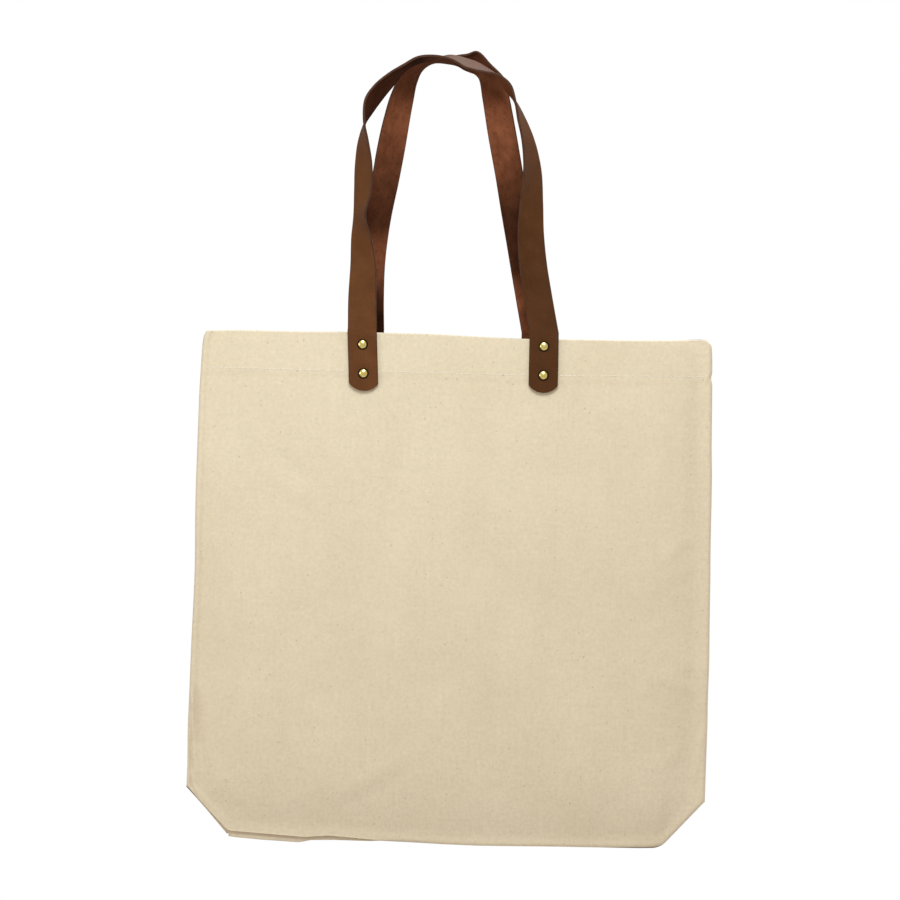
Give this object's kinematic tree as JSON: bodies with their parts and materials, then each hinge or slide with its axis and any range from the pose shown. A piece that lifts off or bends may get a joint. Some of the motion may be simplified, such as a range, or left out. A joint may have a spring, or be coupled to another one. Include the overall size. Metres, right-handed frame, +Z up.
{
  "type": "canvas tote bag",
  "caption": "Flat natural canvas tote bag with cut-off bottom corners, a turned-in hem, and brown leather strap handles held on by brass rivets.",
  "frame": {"origin": "the point just under the top of the two handles, on the middle plane between them, where a hook or a hand holds the bag up; the mouth's top edge is 204.5 mm below it", "axes": "+Z up along the bag's height, -Y out of the bag's front, +X to the right as seen from the front"},
  "size_m": [0.389, 0.0466, 0.5946],
  "materials": {
    "body_canvas": "plain-woven natural cotton canvas, matt",
    "seam_canvas": "folded canvas seam allowance, matt",
    "stitching": "twisted cotton thread",
    "handle_leather": "smooth brown grain with a soft sheen outside, suede flesh side inside",
    "rivet_brass": "polished domed brass"
  },
  "bodies": {
    "bag_base": {"left_side_seam": "seam_canvas", "right_side_seam": "seam_canvas", "bottom_seam": "seam_canvas", "left_corner_seam": "seam_canvas", "right_corner_seam": "seam_canvas"},
    "front_side": {"front_panel": "body_canvas", "front_hem": "body_canvas", "front_hem_stitching_left": "stitching", "front_hem_stitching_middle": "stitching", "front_hem_stitching_right": "stitching", "front_left_handle_tab": "handle_leather", "front_left_upper_rivet_cap": "rivet_brass", "front_left_upper_rivet_post": "rivet_brass", "front_left_lower_rivet_cap": "rivet_brass", "front_left_lower_rivet_post": "rivet_brass", "front_right_handle_tab": "handle_leather", "front_right_upper_rivet_cap": "rivet_brass", "front_right_upper_rivet_post": "rivet_brass", "front_right_lower_rivet_cap": "rivet_brass", "front_right_lower_rivet_post": "rivet_brass"},
    "front_handle": {"front_handle": "handle_leather"},
    "back_side": {"back_panel": "body_canvas", "back_hem": "body_canvas", "back_hem_stitching_left": "stitching", "back_hem_stitching_middle": "stitching", "back_hem_stitching_right": "stitching", "back_left_handle_tab": "handle_leather", "back_left_upper_rivet_cap": "rivet_brass", "back_left_upper_rivet_post": "rivet_brass", "back_left_lower_rivet_cap": "rivet_brass", "back_left_lower_rivet_post": "rivet_brass", "back_right_handle_tab": "handle_leather", "back_right_upper_rivet_cap": "rivet_brass", "back_right_upper_rivet_post": "rivet_brass", "back_right_lower_rivet_cap": "rivet_brass", "back_right_lower_rivet_post": "rivet_brass"},
    "back_handle": {"back_handle": "handle_leather"}
  },
  "joints": [
    {"name": "front_side_open", "type": "hinge", "parent": "bag_base", "child": "front_side", "pos_m": [0.01, 0, -0.585], "axis": [1, 0, 0], "range_deg": [0, 7]},
    {"name": "back_side_open", "type": "hinge", "parent": "bag_base", "child": "back_side", "pos_m": [0.01, 0, -0.585], "axis": [-1, 0, 0], "range_deg": [0, 7]},
    {"name": "front_handle_fold", "type": "hinge", "parent": "front_side", "child": "front_handle", "pos_m": [0.01, -0.0153, -0.20035], "axis": [1, 0, 0], "range_deg": [0, 165]},
    {"name": "back_handle_fold", "type": "hinge", "parent": "back_side", "child": "back_handle", "pos_m": [0.01, 0.0153, -0.20035], "axis": [-1, 0, 0], "range_deg": [0, 165]}
  ]
}
